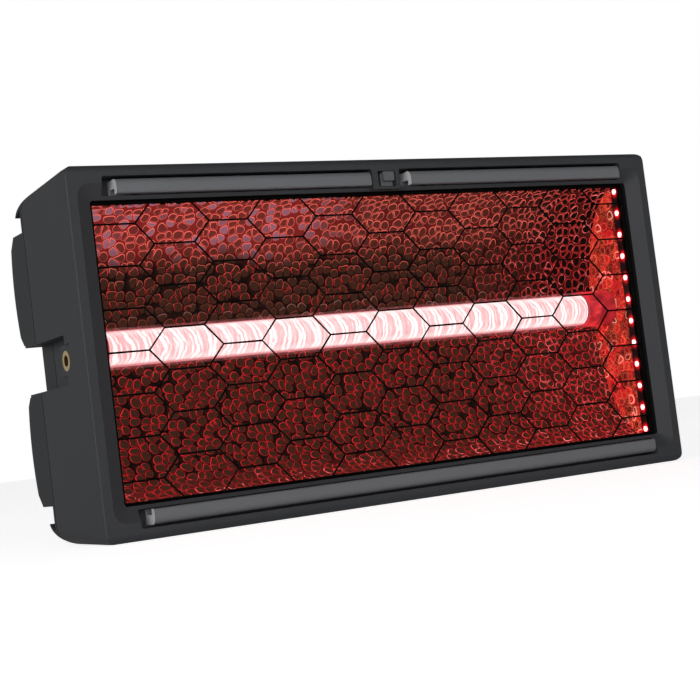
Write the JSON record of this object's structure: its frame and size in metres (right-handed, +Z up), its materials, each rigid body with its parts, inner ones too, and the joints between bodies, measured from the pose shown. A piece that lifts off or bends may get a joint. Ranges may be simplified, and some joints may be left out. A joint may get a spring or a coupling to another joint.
{
  "type": "strobe light",
  "caption": "Black strobe and wash light head with a glowing lamp tube in a hammered reflector, red side light rows, hexagonal wire guard and accessory rails.",
  "frame": {"origin": "centre of the bounding box at the bottom, on the surface the head stands on", "axes": "+Z up, light leaves towards -Y, X along the width, the connectors face +Y"},
  "size_m": [0.425, 0.1094, 0.2155],
  "materials": {
    "housing": "fine-grained matte black powder coat",
    "cover": "fine-grained matte black powder coat",
    "rail": "satin dark grey anodised",
    "catch": "satin grey moulded plastic",
    "guard_wire": "black coated steel wire",
    "glass": "clear flat glass",
    "rubber": "matte black rubber",
    "retainer": "matte black paint",
    "reflector": "bright hammered sheet",
    "lamp_glass": "clear tube",
    "lamp_glow": "glowing white, ribbed",
    "lamp_holder": "dark ceramic",
    "led_board": "black circuit board",
    "led": "glowing red chip",
    "brass": "threaded insert",
    "fan_plastic": "moulded black plastic",
    "grille": "black coated steel",
    "panel": "matte membrane panel",
    "display": "tinted display window",
    "button": "soft grey rubber",
    "board": "green circuit board",
    "socket": "black moulded socket",
    "socket_power_in": "blue moulded socket",
    "socket_power_out": "light grey moulded socket",
    "screw": "blackened steel",
    "heat_sink": "bare extruded aluminium",
    "supply_case": "zinc coated sheet steel"
  },
  "bodies": {
    "head": {"front_housing": "housing", "rear_cover": "cover", "housing_seal": "rubber", "rail_top_left": "rail", "rail_top_right": "rail", "rail_bottom": "rail", "rail_screws": "screw", "catch_spring": "screw", "wire_guard": "guard_wire", "glass_gasket": "rubber", "front_glass": "glass", "glass_retainer": "retainer", "reflector_upper": "reflector", "reflector_lower": "reflector", "reflector_end_left": "reflector", "reflector_end_right": "reflector", "lamp_tube": "lamp_glass", "lamp_emitter": "lamp_glow", "lamp_holder_left": "lamp_holder", "lamp_holder_right": "lamp_holder", "led_board_left": "led_board", "led_board_right": "led_board", "led_row_left": "led", "led_row_right": "led", "yoke_insert_left": "brass", "yoke_insert_right": "brass", "fan_frame_left": "fan_plastic", "fan_frame_right": "fan_plastic", "fan_grille_left": "grille", "fan_grille_right": "grille", "control_panel": "panel", "display_window": "display", "control_board": "board", "power_inlet": "socket_power_in", "power_outlet": "socket_power_out", "data_in_socket": "socket", "data_out_socket": "socket", "socket_screws": "screw", "heat_sink": "heat_sink", "power_supply": "supply_case", "supply_board": "board", "cover_screws": "screw", "safety_eye": "screw"},
    "accessory_catch": {"accessory_catch": "catch"},
    "fan_rotor_left": {"fan_rotor_left": "fan_plastic"},
    "fan_rotor_right": {"fan_rotor_right": "fan_plastic"},
    "menu_button_1": {"menu_button_1": "button"},
    "menu_button_2": {"menu_button_2": "button"},
    "menu_button_3": {"menu_button_3": "button"},
    "menu_button_4": {"menu_button_4": "button"}
  },
  "joints": [
    {"name": "catch_slide", "type": "slide", "parent": "head", "child": "accessory_catch", "axis": [1, 0, 0], "range_m": [-0.003, 0], "stiffness_N_per_m": 400, "springref_m": 0.004, "deforming": ["catch_spring"]},
    {"name": "fan_spin_left", "type": "hinge", "parent": "head", "child": "fan_rotor_left", "pos_m": [-0.118, 0.03725, 0.15625], "axis": [0, 1, 0], "continuous": true},
    {"name": "fan_spin_right", "type": "hinge", "parent": "head", "child": "fan_rotor_right", "pos_m": [0.118, 0.03725, 0.15625], "axis": [0, 1, 0], "continuous": true},
    {"name": "menu_button_1_press", "type": "slide", "parent": "head", "child": "menu_button_1", "axis": [0, -1, 0], "range_m": [0, 0.001], "stiffness_N_per_m": 1200, "springref_m": -0.0006},
    {"name": "menu_button_2_press", "type": "slide", "parent": "head", "child": "menu_button_2", "axis": [0, -1, 0], "range_m": [0, 0.001], "stiffness_N_per_m": 1200, "springref_m": -0.0006},
    {"name": "menu_button_3_press", "type": "slide", "parent": "head", "child": "menu_button_3", "axis": [0, -1, 0], "range_m": [0, 0.001], "stiffness_N_per_m": 1200, "springref_m": -0.0006},
    {"name": "menu_button_4_press", "type": "slide", "parent": "head", "child": "menu_button_4", "axis": [0, -1, 0], "range_m": [0, 0.001], "stiffness_N_per_m": 1200, "springref_m": -0.0006}
  ]
}
